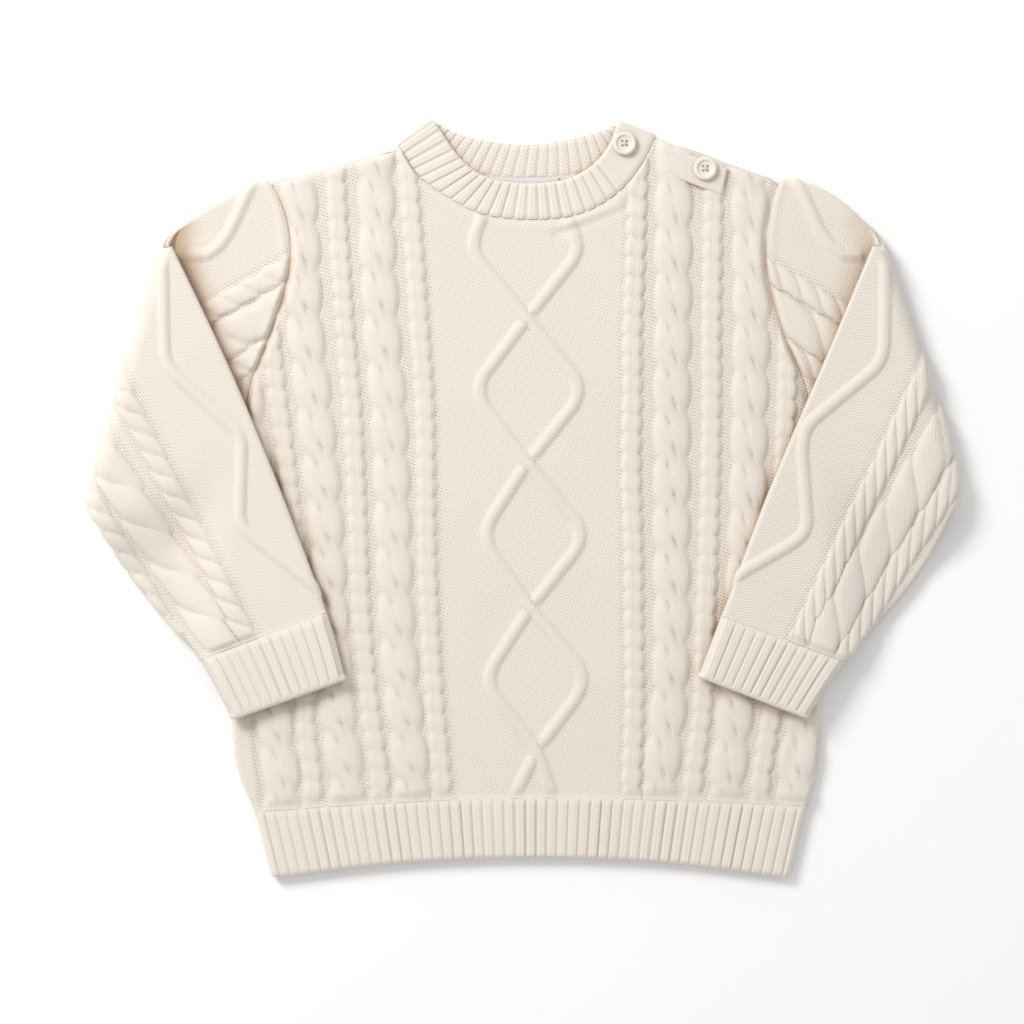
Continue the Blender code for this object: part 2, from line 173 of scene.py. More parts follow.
# Half width, pitch and height of the twisted strands on the sleeves, and how far they are pulled
TWISTS = {"cable": (9.4, 25.3, 2.6), "rope": (5.2, 11.8, 2.1)}
FOREARM_LEAN = {"sleeve_right": 0.84, "sleeve_left": 1.9}
CAP_LEAN = {"sleeve_right": 0.58, "sleeve_left": 1.0}

# Cables and ropes of the front: x at each of these heights, and where one of the crossings lies
COLUMN_HEIGHTS = (170, 125, 85, 50, 15, -20, -60, -100, -140)
COLUMNS = [
    # kind, crossing (y), x at the heights above
    ("cable", -123, (-151.5, -147.5, -143.5, -140, -136.5, -133.5, -130.5, -127, -121.5)),
    ("rope", -111, (-134.5, -131, -127.5, -123.5, -119, -116, -114, -111, -106)),
    ("cable", 115, (-114.5, -111.5, -110, -105.8, -102, -99.5, -97.3, -94.5, -88.8)),
    ("rope", 130, (-95, -92.5, -89.8, -86.5, -84.6, -83.2, -81.5, -77.8, -72.3)),
    ("cable", 115, (-74.5, -73.7, -71.5, -68.5, -66.8, -65.7, -64.3, -60.9, -56.5)),
    ("rope", 31, (-59, -55.3, -52.5, -50.1, -49.4, -48.9, -47.5, -45, -41.3)),
    ("rope", 53, (57, 55.5, 54, 53.8, 53.3, 54.3, 54.7, 55, 53.5)),
    ("cable", 113.5, (75, 74.3, 74, 73.5, 73.5, 73.5, 73.5, 72, 67.5)),
    ("rope", 51, (95, 94, 93.5, 93.5, 93, 92, 90.5, 89.3, 84.3)),
    ("cable", 111, (112, 113, 113.5, 112.5, 112, 111, 109, 105.8, 101)),
    ("rope", 60, (134, 133, 132, 131, 130, 129, 127.5, 124.3, 118)),
    ("cable", -140, (152.5, 152, 151.5, 150.5, 149, 147, 143.5, 140.5, 135)),
]

# The two travelling lines of the diamonds: y, x of the one that starts at the right, of the other
DIAMONDS = [
    (144.5, -20, 19),
    (132, -25.5, 25.5),
    (123, -25.5, 26.5),
    (91, 1, 1),
    (60, 26.5, -22.5),
    (50, 26.5, -22.5),
    (18.5, 1, 1),
    (-12.5, -19, 27.5),
    (-22.5, -19, 27.5),
    (-54, 2.5, 2.5),
    (-85, 28.5, -17.5),
    (-95, 28.5, -17.5),
    (-125, 6, 6),
    (-147.5, -5, 13.5),
]

# Forearms, from the cuff's inner corner: a up the arm, b across it
ARM_LENGTH = 134.0
ARM_COLUMNS = {
    # kind, crossing (a), b at a = 0 and at the arm's length
    "sleeve_right": [("rope", 6, 42, 51), ("cable", 11, 55, 76), ("rope", 3, 75, 91)],
    "sleeve_left": [("rope", 4, 41, 48.5), ("cable", 9, 51, 70.5), ("rope", 3, 64, 86.5)],
}
ARM_TRACE = {
    # a, b of the travelling line
    "sleeve_right": [(3, -5), (13, 0), (53, 22), (59, 23), (95, 6.5), (99, 6), (142, 25.5),
                     (149, 25.5), (188, 10), (200, 6)],
    "sleeve_left": [(12, -6), (22, 0.5), (49, 21.5), (57, 24), (93, 6), (104, 4), (145, 26),
                    (154, 25.5), (193, 10), (203, 7)],
}

# Upper arm, mirrored for the other side: travelling line, then the line of the first rope
CAP_TRACE = [(-135.5, 161), (-141.5, 148), (-147.5, 135), (-153, 127.2), (-159, 123), (-167, 122.5)]
CAP_ROPE = (-119, 116, -159, 93)
CAP_SPACING = 15.4  # from a rope to the next cable on the upper arm

# Soft creases of the front: x, y of both ends, half width, height
FRONT_CREASES = [
    (22.5, 138, 46, 146, 2.6, 0.9),
    (17, 133.5, 52, 147, 2.4, -0.8),
    (-136.5, -110, -131, -150, 1.6, -0.9),
    (-70, 152, -84, 140, 9, -0.5),
    (-118, 148, -106, 118, 7, -0.5),
    (118, 148, 106, 120, 7, -0.5),
    (136, -118, 128, -148, 4, -0.8),
    (-12, -60, 30, -75, 10, -0.35),
    (-40, 40, -10, 5, 12, 0.3),
    (60, -100, 95, -120, 9, -0.4),
]
BACK_CREASES = [
    (-90, 120, -20, 60, 11, 0.6),
    (70, 90, 20, 20, 13, 0.5),
    (-60, -40, 30, -70, 12, 0.5),
    (40, -110, 110, -90, 10, 0.6),
]

IVORY = (0.80, 0.735, 0.66)
# Painted shade colour: the knit is mixed towards it where cloth closes a place in, in the purl pits
# and in the fold hollows
PAINTED_SHADE_TAN = (0.55, 0.40, 0.27)
BUTTON_CREAM = (0.83, 0.77, 0.665)
THREAD = (0.78, 0.71, 0.61)
LABEL = (0.79, 0.795, 0.79)
FLOOR_DARKER = (0.955, 0.955, 0.955)
FLOOR_LIGHTER = (0.975, 0.975, 0.975)

# Studio, in metres and watts; the key light points at the middle of the frame
CAMERA_HEIGHT = 1.6
VIEW_WIDTH = 0.512
KEY_PLACE = (-0.95, 0.95, 1.15)
KEY_SIZE = 0.7
KEY_POWER = 21.0
KEY_COLOUR = (1.0, 0.985, 0.965)
SKY_STRENGTH = 0.68


# --- Curves ---
def smooth(knots, values, t):
    """Cubic curve through values at rising knots, evaluated at every t."""
    knots = np.asarray(knots, float)
    values = np.asarray(values, float)
    t = np.asarray(t, float)
    slopes = np.gradient(values, knots, axis=0)
    i = np.clip(np.searchsorted(knots, t) - 1, 0, len(knots) - 2)
    step = np.diff(knots)[i]
    s = np.clip((t - knots[i]) / step, 0.0, 1.0)
    if values.ndim > 1:
        step = step[..., None]
        s = s[..., None]
    near = (1 + 2 * s) * (1 - s) ** 2 * values[i] + s * (1 - s) ** 2 * step * slopes[i]
    far = s * s * (3 - 2 * s) * values[i + 1] - s * s * (1 - s) * step * slopes[i + 1]
    return near + far


def along(points, x):
    return smooth([p[0] for p in points], [p[1] for p in points], x)


def section(rows, t):
    return smooth(range(len(rows)), rows, t)


def ease(t):
    t = np.clip(t, 0.0, 1.0)
    return t * t * (3 - 2 * t)


def bell(t):
    return np.exp(-(t ** 2))


def quarter_round(distance, radius):
    t = np.clip(distance / radius, 0.0, 1.0)
    return np.sqrt(1 - (1 - t) ** 2)


def mix(a, b, t):
    return a + (b - a) * t


def unit(vector):
    return vector / np.linalg.norm(vector)


def rimmed(count, rim, length):
    """Rising fractions from 0 to 1, closer together over the rims at both ends."""
    start = np.asarray(rim) / length
    middle = np.linspace(start[-1], 1 - start[-1], count - 2 * len(rim) + 2)
    return np.concatenate([start[:-1], middle, 1 - start[-2::-1]])


# --- Form of the body ---
def side_x(y, side):
    return along([(row[0], row[1 if side < 0 else 2]) for row in BODY_SIDES], y)


def dome(x, y):
    return DOME * np.maximum(0, 1 - (x / 140) ** 2) * np.maximum(0, 1 - ((y + 20) / 190) ** 2)


def neckline(face):
    """Edge of a body panel at the neckband, which it runs a little into."""
    table = BAND_FRONT if face == "front" else BAND_BACK
    rows = section(table, np.linspace(0, len(table) - 1, 20 * len(table)))
    run = rows[:, :2] - rows[:, 2:]
    return rows[:, :2] + run / np.linalg.norm(run, axis=1)[:, None] * SEWN


NECK = {face: neckline(face) for face in ("front", "back")}


def top_y(x, face):
    """Upper edge of a body panel: shoulder, neckline, shoulder."""
    neck = NECK[face]
    right = along(SHOULDER_RIGHT_ARM + [tuple(neck[0])], x)
    left = along([tuple(neck[-1])] + SHOULDER_LEFT_ARM, x)
    middle = np.interp(x, neck[:, 0], neck[:, 1])
    return np.where(x < neck[0][0], right, np.where(x > neck[-1][0], left, middle))


def side_plan(side, v):
    hem_y = HEM_SEAM[0][1] if side < 0 else HEM_SEAM[-1][1]
    y = (1 - v) * hem_y + v * BODY_SIDES[-1][0]
    return np.stack([side_x(y, side), y + SEWN * (1 - v)], axis=-1)


def panel_plan(face, u, v):
    """Plan position on a body panel: u runs right to left across it, v from hem to shoulder."""
    _, tip_right, tip_left = BODY_SIDES[-1]
    hem_x = mix(HEM_SEAM[0][0], HEM_SEAM[-1][0], u)
    hem = np.dstack([hem_x, along(HEM_SEAM, hem_x) + SEWN])
    top_x = mix(tip_right, tip_left, u)
    top = np.dstack([top_x, top_y(top_x, face)])
    u = u[..., None]
    corners = [mix(side_plan(-1, end), side_plan(1, end), u) for end in (0.0, 1.0)]
    sides = mix(side_plan(-1, v), side_plan(1, v), u)
    v = v[..., None]
    return sides + mix(hem, top, v) - mix(*corners, v)


def levels(face, x, y):
    """Height of a body face at its side seam, and where it lies flat."""
    if face == "front":
        return (LAYER + SEAM) / 2, LAYER + dome(x, y)
    return (LAYER - SEAM) / 2, 0.0


def panel_surface(face, u, v):
    """Points of a body panel's outer face on a grid, and each point's distances to its edges."""
    u, v = np.meshgrid(u, v)
    plan = panel_plan(face, u, v)
    x, y = plan[..., 0], plan[..., 1]
    width = side_x(y, 1) - side_x(y, -1)
    to_side = np.minimum(u, 1 - u) * width
    to_top = (1 - v) * BODY_HEIGHT
    armhole = ease((y - UNDERARM) / (ARMHOLE_START - UNDERARM))
    side = 1 - (1 - armhole) * (1 - quarter_round(to_side, LAYER / 2))
    neck = NECK[face]
    off_neck = np.maximum(neck[0][0] - x, x - neck[-1][0])
    shoulder = ease((off_neck + 1) / NECK_EASE)
    top = 1 - shoulder * (1 - quarter_round(to_top, LAYER / 2))
    z = mix(*levels(face, x, y), side * top)
    edges = {"side": to_side, "top": to_top, "hem": v * BODY_HEIGHT, "armhole": armhole}
    return np.dstack([x, y, z]), edges


# --- Form of the sleeves ---
def armhole_plan(side, v):
    y = (1 - v) * BODY_SIDES[-1][0] + v * UNDERARM
    return np.stack([side_x(y, side) + side * SEWN, y], axis=-1)


def fold_axis(name):
    row = np.array(SLEEVES[name][0])
    upper, lower = row[:2], row[2:]
    run = unit(upper - lower)
    outward = np.array([-run[1], run[0]])
    return upper, lower, outward * np.sign(outward[0]) * side_of(name)


def side_of(name):
    return 1 if name.endswith("left") else -1


def forearm_sag(name, x, y):
    side = side_of(name)
    under = armhole_plan(side, 1.0)
    lower = fold_axis(name)[1]
    run = unit(lower - under)
    below = abs(run[0]) * (under[1] + (x - under[0]) * run[1] / run[0] - y)
    beside = side * (x - side_x(y, side))
    return DRAPE * ease(below / DRAPE_RUN) * ease(beside / DRAPE_RUN)


class Loop:
    """Columns of a flattened tube: first the run at full height, an end, the low run, an end."""

    def __init__(self, high, low, end):
        span, bulge, lift = [], [], []
        for first, last, count, level in ((0.0, 1.0, high, 1.0), (1.0, 0.0, low, -1.0)):
            span += np.linspace(first, last, count + 1).tolist()
            bulge += [0.0] * (count + 1)
            lift += [level] * (count + 1)
            for k in range(1, end):
                angle = math.pi * k / end
                span.append(last)
                bulge.append((2 * last - 1) * math.sin(angle))
                lift.append(level * math.cos(angle))
        self.span = np.array(span)
        self.bulge = np.array(bulge)
        self.lift = np.array(lift)

    def ring(self, width):
        """Distance across and height of every column, for an array of widths."""
        radius = LAYER / 2
        width = np.asarray(width, float)[..., None]
        across = radius + (width - 2 * radius) * self.span + radius * self.bulge
        height = radius * (1 + self.lift) + 0 * across
        return across, height


def upper_arm_rings(name, loop, t):
    side = side_of(name)
    upper, lower, _ = fold_axis(name)
    upper = upper + unit(upper - lower) * FOLD_RAISE[name]
    tip = armhole_plan(side, 0.0)
    width = mix(np.linalg.norm(tip - armhole_plan(side, 1.0)), np.linalg.norm(upper - lower), t)
    across, height = loop.ring(width)
    v = (across / width[:, None])[..., None]
    sewn = armhole_plan(side, v[..., 0])
    plan = mix(sewn, mix(upper, lower, v), t[:, None, None])
    chord = unit(upper - tip)
    away = np.array([-chord[1], chord[0]]) * side
    size, skew = PUFF[name]
    s = t[:, None, None] ** skew
    plan = plan + away * size * (1 - v) ** 2 * 4 * s * (1 - s)
    return np.dstack([plan, height]), plan


def fold_rings(name, loop, turn):
    upper, lower, outward = fold_axis(name)
    full = np.linalg.norm(upper - lower)
    run = (lower - upper) / full
    bulge = np.sin(turn)
    start = CORNER_UPPER * bulge - FOLD_RAISE[name] * (1 + np.cos(turn)) / 2
    across, height = loop.ring(full - start - CORNER_LOWER * bulge)
    reach = FOLD_RADIUS - height
    v = across / full
    inner = CORNER_UPPER * bulge[:, None] * (1 - reach / FOLD_RADIUS) * np.clip(1 - v, 0, 1) ** 6
    on_axis = upper + run * (start[:, None] + across - inner)[..., None]
    bow = FOLD_BOW * 4 * v * (1 - v)
    plan = on_axis + outward * ((reach + bow) * bulge[:, None])[..., None]
    z = FOLD_RADIUS - reach * np.cos(turn)[:, None]
    unfolded = on_axis + outward * (reach * (math.pi - turn)[:, None])[..., None]
    return np.dstack([plan, z]), unfolded


def forearm_rings(name, loop, t):
    rows = section(SLEEVES[name], t)
    upper, lower = rows[:, :2], rows[:, 2:]
    width = np.linalg.norm(upper - lower, axis=1)
    across, height = loop.ring(width)
    v = (across / width[:, None])[..., None]
    plan = mix(upper[:, None, :], lower[:, None, :], v)
    x, y = plan[..., 0], plan[..., 1]
    z = FOLD_HEIGHT - height + dome(x, y) - forearm_sag(name, x, y)
    return np.dstack([plan, z]), plan


# --- Knitted relief ---
class Relief:
    """Height of the knitting above its purl ground, and the coordinates of its stitches."""

    def __init__(self, x, y):
        self.height = np.zeros_like(x)
        self.face = np.zeros_like(x)  # 1 on smooth knit stitches, 0 on the purl ground
        self.across = np.array(x, float)
        self.along = np.array(y, float)
        self.ground = np.dstack([x, y])
        self.deep = np.zeros_like(x)  # 1 in the narrow channels between cables and ropes
        self.painted_shade = np.zeros_like(x)  # share of tan in hollows that the light hardly reaches

    def all_knit(self):
        """Makes it smooth knit all over, with no purl ground."""
        self.face[:] = 1.0
        return self

    def lay(self, height, across, down, near):
        """Adds a feature where it stands above what is there; near also takes its stitches."""
        on = height > np.maximum(self.height, 0.02)
        beside = (self.height <= 0.02) & near
        self.height = np.where(on, height, self.height)
        self.face = np.where(on, ease((height - 0.15) / 0.6), self.face)
        self.across = np.where(on | beside, across, self.across)
        self.along = np.where(on | beside, down, self.along)

    def strand(self, height, d, half, channel, across, down):
        """Lays a cable or a rope along d = 0, between deep channels."""
        reach, fade = channel
        self.deep = np.maximum(self.deep, ease((half + reach - np.abs(d)) / fade))
        self.lay(height, across, down, np.abs(d) < half + 1.5)

    def blend_out(self, keep):
        """Fades the relief to plain ground where keep falls to 0."""
        self.height *= keep
        self.face *= keep


def bead(d, half, power=2.4, soft=0.75):
    """Rounded section of a strand, 1 at its middle and 0 at its edges."""
    return np.clip(1 - np.abs(d / half) ** power, 0, 1) ** soft


def crossing(s, start, pitch):
    """Place between two crossings, from -0.5 to 0.5 with 0 at a crossing."""
    q = (s - start) / pitch
    return q - np.round(q)


def spot(d, s, half_d, half_s, lean=0.0):
    return bell((d - lean * s) / half_d) * bell(s / half_s)


def cable(relief, d, s, start):
    """Large cable: a chain of plump links. Every strand crosses from upper left to lower right."""
    half = CABLE_HALF
    q = crossing(s, start, CABLE_PITCH)
    scallop = (1 - np.abs(np.sin(np.pi * q))) ** 1.4
    edge = half * (1.02 - np.where(d > 0, 0.27, 0.21) * scallop)
    link = bead(d, edge, 3.6, 0.58)
    near = np.cos(np.pi * q) ** 4
    swing = 0.55 * half * np.sin(np.pi * q)
    over = bead(d - swing, 0.60 * half, 2.0)
    height = CABLE_HEIGHT * link * (1 - 0.42 * near * (1 - over))
    local = q * CABLE_PITCH
    height -= 1.3 * spot(d - 0.16 * half, local + 4.2, 0.8, 3.6, lean=0.42)
    height -= 1.3 * spot(d + 0.20 * half, local - 4.4, 0.75, 3.2, lean=0.42)
    wale = d * half / edge - 0.8 * np.sin(2 * np.pi * q) * link
    relief.strand(np.where(link > 0, np.maximum(height, 0.05), 0), d, half, (5.5, 2.5), wale, s)


def rope(relief, d, s, start):
    """Narrow rope of two strands that twist round each other."""
    q = crossing(s, start, ROPE_PITCH)
    near = np.cos(np.pi * q) ** 2
    swing = 0.42 * ROPE_HALF * np.sin(0.5 * np.pi * np.clip(q / 0.32, -1, 1))
    over = bead(d - swing, 0.64 * ROPE_HALF * (1 + 0.15 * near))
    under = bead(d + swing, 0.60 * ROPE_HALF) * (1 - 0.40 * near)
    local = q * ROPE_PITCH
    notch = np.where(d > 0, 0.34, 0.22) * (1 - np.abs(np.sin(np.pi * q))) ** 1.5
    whole = bead(d, ROPE_HALF * (1.06 - notch), 3.4, 0.6)
    height = ROPE_HEIGHT * (0.70 * whole + 0.30 * np.maximum(over, under))
    height -= 0.6 * spot(local - 0.85 * d, d + 0.20 * ROPE_HALF, 0.8, 3.2)
    relief.strand(height, d, ROPE_HALF, (3.5, 2.0), d + 0.6, s)


def twist(relief, d, s, start, kind, lean):
    """Twisted strands of a sleeve, from upper left to lower right; lean is how far it is pulled."""
    half, pitch, height = TWISTS[kind]
    bend = 0.45 * half * np.clip(d / half, -1.2, 1.2) ** 5
    pull = min(lean, 1.25) if kind == "cable" else lean
    q = crossing(s - pull * d - bend, start, pitch)
    lobe = bead(q, 0.5, 2.5, 0.7)
    notch = (0.24 if kind == "cable" else 0.20) * np.abs(2 * q) ** 2.5
    edge = half * (1.07 - notch)
    whole = bead(d, edge, 3.2, 0.6)
    faint = 0.15 if lean < 1 else 0.6
    groove = mix(0.68, faint, ease(d / half + 0.4)) if kind == "cable" else 0.6
    rise = height * whole * (1 - groove * (1 - lobe))
    slope = math.hypot(1, lean)
    rise = np.where(whole > 0, np.maximum(rise, 0.05), 0)
    relief.strand(rise, d, half, (4.5, 2.5), (lean * d - s) / slope, (d + lean * s) / slope)


def trace(relief, d, s, height=TRACE_HEIGHT, power=2.2):
    """Travelling line of knit stitches."""
    relief.lay(height * bead(d, TRACE_HALF, power, 1.0), d * 1.25, s, np.abs(d) < TRACE_HALF + 1.5)


def rounded_line(points, t):
    """Value and slope of a line through (t, value) points, with its corners rounded."""
    knots, values = zip(*sorted(points))

    def at(place):
        around = [place + step for step in np.linspace(-4.5, 4.5, 7)]
        return np.mean([np.interp(p, knots, values) for p in around], axis=0)

    return at(t), at(t + 1) - at(t)


def beside_line(x, y, x0, y0, x1, y1):
    """Distances along a line from its start and to its left, and its length."""
    length = math.hypot(x1 - x0, y1 - y0)
    s = ((x - x0) * (x1 - x0) + (y - y0) * (y1 - y0)) / length
    d = ((y - y0) * (x1 - x0) - (x - x0) * (y1 - y0)) / length
    return s, d, length


def creases(x, y, table):
    """Height of soft ridges and troughs, each fading out towards both its ends."""
    total = np.zeros_like(x)
    for *line, half, height in table:
        s, d, length = beside_line(x, y, *line)
        beyond = np.maximum(np.maximum(-s, s - length), 0)
        total += height * bell(d / half) * bell(beyond / (1.5 * half))
    return total


def front_relief(x, y):
    relief = Relief(x, y)
    heights = COLUMN_HEIGHTS[::-1]
    for kind, cross_y, places in COLUMNS:
        centre = smooth(heights, places[::-1], y)
        slope = smooth(heights, places[::-1], y + 1) - centre
        knit = cable if kind == "cable" else rope
        knit(relief, (x - centre) / np.sqrt(1 + slope ** 2), -y, -cross_y)
    inside = ease((146 - y) / 3)
    lines = [[(row[0], row[column]) for row in DIAMONDS] for column in (1, 2)]
    first, second = [rounded_line(line, y) for line in lines]
    meeting = bell((first[0] - second[0]) / 3.6)
    for centre, slope in (first, second):
        rising = ease(slope / 0.5)
        height = TRACE_HEIGHT * mix(0.84 + 0.2 * meeting, 1 - 0.85 * meeting, rising)
        d = (x - centre) / np.sqrt(1 + slope ** 2)
        trace(relief, d, -y, height * inside, 3.4 - 1.2 * rising)
    return relief


def forearm_relief(name, plan):
    """Relief of the side of a forearm that shows, which runs on round the fold."""
    side = side_of(name)
    top = fold_axis(name)[0]
    corner = np.array(SLEEVES[name][3][:2])
    up = unit(top - corner)
    a = (plan - corner) @ up
    b = (plan - corner) @ (side * up[1], -side * up[0])
    relief = Relief(side * b, a)
    for kind, start, low, high in ARM_COLUMNS[name]:
        d = side * (b - mix(low, high, a / ARM_LENGTH))
        twist(relief, d, -a, -start, kind, FOREARM_LEAN[name])
    centre, slope = rounded_line(ARM_TRACE[name], a)
    to_fold = np.linalg.norm(top - corner) - a
    line = side * (b - centre) / np.sqrt(1 + slope ** 2)
    trace(relief, line, -a, TRACE_HEIGHT * ease((to_fold - 2) / 8))
    relief.height *= ease((to_fold + 4) / 5)
    return relief


def cap_relief(name, plan):
    """Relief of the top of an upper arm."""
    side = side_of(name)
    x = -side * plan[..., 0]
    y = plan[..., 1]
    relief = Relief(plan[..., 0], y)
    s, d, _ = beside_line(x, y, *CAP_ROPE)
    for k, kind in enumerate(("rope", "cable", "rope")):
        twist(relief, side * (d - k * CAP_SPACING), s, 4.0, kind, CAP_LEAN[name])
    trace(relief, distance_to(CAP_TRACE, np.dstack([x, y])), y)
    return relief


def distance_to(line, plan):
    """Distance of each plan point to a line through a few points."""
    nearest = np.full(plan.shape[:-1], FAR)
    for p, q in zip(np.array(line[:-1]), np.array(line[1:])):
        share = np.clip(((plan - p) @ (q - p)) / ((q - p) @ (q - p)), 0, 1)
        gap = np.linalg.norm(plan - mix(p, q, share[..., None]), axis=-1)
        nearest = np.minimum(nearest, gap)
    return nearest


def fold_hollow(name, plan):
    """1 in an upper arm's hollow beside the folded forearm, deepest at the fold's upper end."""
    upper, lower, _ = fold_axis(name)
    top = upper + unit(upper - lower) * 0.7 * FOLD_RAISE[name]
    nearest = distance_to([top] + [row[:2] for row in SLEEVES[name][:3]], plan)
    end = bell(np.linalg.norm(plan - top, axis=-1) / 36)
    return bell(nearest / mix(4.5, 9.5, end)) * mix(0.35, 1.0, end) * HOLLOW[name]


def rib_height(phase, sharp):
    """Rounded ribs with narrow valleys; phase counts ribs."""
    f = np.abs(2 * (phase - np.floor(phase)) - 1)
    return 1 - f ** sharp


# --- Meshes ---
def normals_of(points, wrap):
    """Unit normals of a grid of points."""
    if wrap:
        padded = np.concatenate([points[:, -1:], points, points[:, :1]], axis=1)
        du = np.gradient(padded, axis=1)[:, 1:-1]
    else:
        du = np.gradient(points, axis=1)
    dv = np.gradient(points, axis=0)
    n = np.cross(du, dv)
    return n / np.maximum(np.linalg.norm(n, axis=-1), 1e-9)[..., None]


def grid_faces(rows, columns, wrap, first):
    steps = columns if wrap else columns - 1
    r, c = np.meshgrid(np.arange(rows - 1), np.arange(steps), indexing="ij")
    d = (c + 1) % columns
    low, high = r * columns, (r + 1) * columns
    quads = np.stack([low + c, low + d, high + d, high + c], -1)
    return (quads.reshape(-1, 4) + first).tolist()


def rim_faces(outer, inner, coarse):
    """Faces that join a fine row of points to a coarse one, a polygon for each coarse step."""
    faces = []
    for k in range(len(inner) - 1):
        fine = outer[k * coarse:(k + 1) * coarse + 1]
        faces.append([*fine, inner[k + 1], inner[k]])
    return faces


def shell(name, skin, lining, wrap, coarse, relief, finish, flip):
    """Closed shell: a fine skin, a lining through every few of its points, and rims between."""
    rows, columns = skin.shape[:2]
    inner_rows, inner_columns = lining.shape[:2]
    points = np.concatenate([skin.reshape(-1, 3), lining.reshape(-1, 3)])
    points[:, :2] += CENTRE_SHIFT
    first = rows * columns
    outer = np.arange(first).reshape(rows, columns)
    inner = np.arange(inner_rows * inner_columns).reshape(inner_rows, inner_columns) + first
    faces = grid_faces(rows, columns, wrap, 0)
    turned = grid_faces(inner_rows, inner_columns, wrap, first)
    if wrap:
        outer = np.hstack([outer, outer[:, :1]])
        inner = np.hstack([inner, inner[:, :1]])
    else:
        faces += rim_faces(outer[:, 0], inner[:, 0], coarse)
        turned += rim_faces(outer[:, -1], inner[:, -1], coarse)
    faces += rim_faces(outer[-1], inner[-1], coarse)
    turned += rim_faces(outer[0], inner[0], coarse)
    if flip:
        faces, turned = turned, faces
    faces += [face[::-1] for face in turned]
    mesh = bpy.data.meshes.new(name)
    mesh.from_pydata((points * MM).tolist(), [], faces)
    mesh.shade_smooth()
    mesh.materials.append(finish)
    plain = lining * (1, 1, 0)
    store(mesh, "stitch", (relief.across, relief.along, relief.face), plain)
    store(mesh, "ground", (*np.moveaxis(relief.ground, -1, 0), relief.deep), plain)
    store(mesh, "painted_shade", [relief.painted_shade] * 3, 0 * plain)
    return linked(name, mesh)


def store(mesh, name, parts, plain):
    """Stores three values for each point of the skin, and plain ones for the lining."""
    values = np.concatenate([np.stack(parts, axis=-1).reshape(-1, 3), plain.reshape(-1, 3)])
    layer = mesh.attributes.new(name, "FLOAT_VECTOR", "POINT")
    layer.data.foreach_set("vector", values.astype(np.float32).ravel())


def linked(name, data):
    """New object in the scene."""
    item = bpy.data.objects.new(name, data)
    bpy.context.scene.collection.objects.link(item)
    return item


def cloth(name, base, relief, extra, finish, wall=WALL, wrap=False, coarse=4, lining=None):
    """Shell on a base form: the relief is raised along the form's normals."""
    normal = normals_of(base, wrap)
    up = (0, 0, -1 if name.startswith("back") else 1)
    outward = base - base.mean(1, keepdims=True) if wrap else np.array(up)
    facing = np.sign(np.sum(outward * normal))
    normal = normal * facing
    height = relief.height - GROUND_DROP + extra
    skin = base + normal * height[..., None]
    if lining is None:
        lining = (base - normal * wall)[::coarse, ::coarse]
        lining[..., 2] = np.maximum(lining[..., 2], 0.05)
    skin[..., 2] = np.maximum(skin[..., 2], 0.0)
    return shell(name, skin, lining, wrap, coarse, relief, finish, flip=facing < 0)


# --- Materials ---
class Nodes:
    """Small helper that wires the nodes of one material."""

    def __init__(self, name, roughness):
        self.material = bpy.data.materials.new(name)
        self.material.use_nodes = True
        self.tree = self.material.node_tree
        self.shader = self.tree.nodes["Principled BSDF"]
        self.shader.inputs["Roughness"].default_value = roughness

    def plug(self, value, socket):
        if isinstance(value, bpy.types.NodeSocket):
            self.tree.links.new(value, socket)
        else:
            socket.default_value = value

    def math(self, operation, a, b=0.0, c=0.0):
        node = self.tree.nodes.new("ShaderNodeMath")
        node.operation = operation
        for socket, value in zip(node.inputs, (a, b, c)):
            self.plug(value, socket)
        return node.outputs[0]

    def add(self, first, *more):
        for value in more:
            first = self.math("ADD", first, value)
        return first

    def times(self, a, b):
        return self.math("MULTIPLY", a, b)

    def minus(self, a, b):
        return self.math("SUBTRACT", a, b)

    def colour(self, value):
        self.plug(value, self.shader.inputs["Base Color"])

    def attribute(self, name):
        node = self.tree.nodes.new("ShaderNodeAttribute")
        node.attribute_name = name
        parts = self.tree.nodes.new("ShaderNodeSeparateXYZ")
        self.tree.links.new(node.outputs["Vector"], parts.inputs[0])
        return parts.outputs

    def noise(self, scale, detail=2.0):
        """Noise in millimetres of the object's own frame."""
        place = self.tree.nodes.new("ShaderNodeTexCoord")
        mapping = self.tree.nodes.new("ShaderNodeMapping")
        mapping.inputs["Scale"].default_value = [1 / MM] * 3
        node = self.tree.nodes.new("ShaderNodeTexNoise")
        node.inputs["Scale"].default_value = scale
        node.inputs["Detail"].default_value = detail
        self.tree.links.new(place.outputs["Object"], mapping.inputs["Vector"])
        self.tree.links.new(mapping.outputs[0], node.inputs["Vector"])
        return node.outputs["Fac"]

    def colour_mix(self, share, a, b):
        node = self.tree.nodes.new("ShaderNodeMix")
        node.data_type = "RGBA"
        self.plug(share, node.inputs["Factor"])
        self.plug((*a, 1) if isinstance(a, tuple) else a, node.inputs["A"])
        self.plug((*b, 1) if isinstance(b, tuple) else b, node.inputs["B"])
        return node.outputs["Result"]

    def phase(self, x, y, angle, pitch):
        """Phase of a plane wave that runs at an angle, in degrees, with a pitch in millimetres."""
        turn = math.radians(angle)
        wave = 2 * math.pi / pitch
        return self.add(self.times(x, math.cos(turn) * wave), self.times(y, math.sin(turn) * wave))

    def hollow(self, reach):
        """How closed in a place is by the cloth within a reach in millimetres, 0 in the open."""
        node = self.tree.nodes.new("ShaderNodeAmbientOcclusion")
        node.samples = 6
        node.inputs["Distance"].default_value = reach * MM
        return self.math("POWER", self.minus(1.0, node.outputs["AO"]), 1.5)

    def bump(self, height, distance):
        node = self.tree.nodes.new("ShaderNodeBump")
        node.inputs["Strength"].default_value = 1.0
        node.inputs["Distance"].default_value = distance * MM
        self.plug(height, node.inputs["Height"])
        self.tree.links.new(node.outputs[0], self.shader.inputs["Normal"])


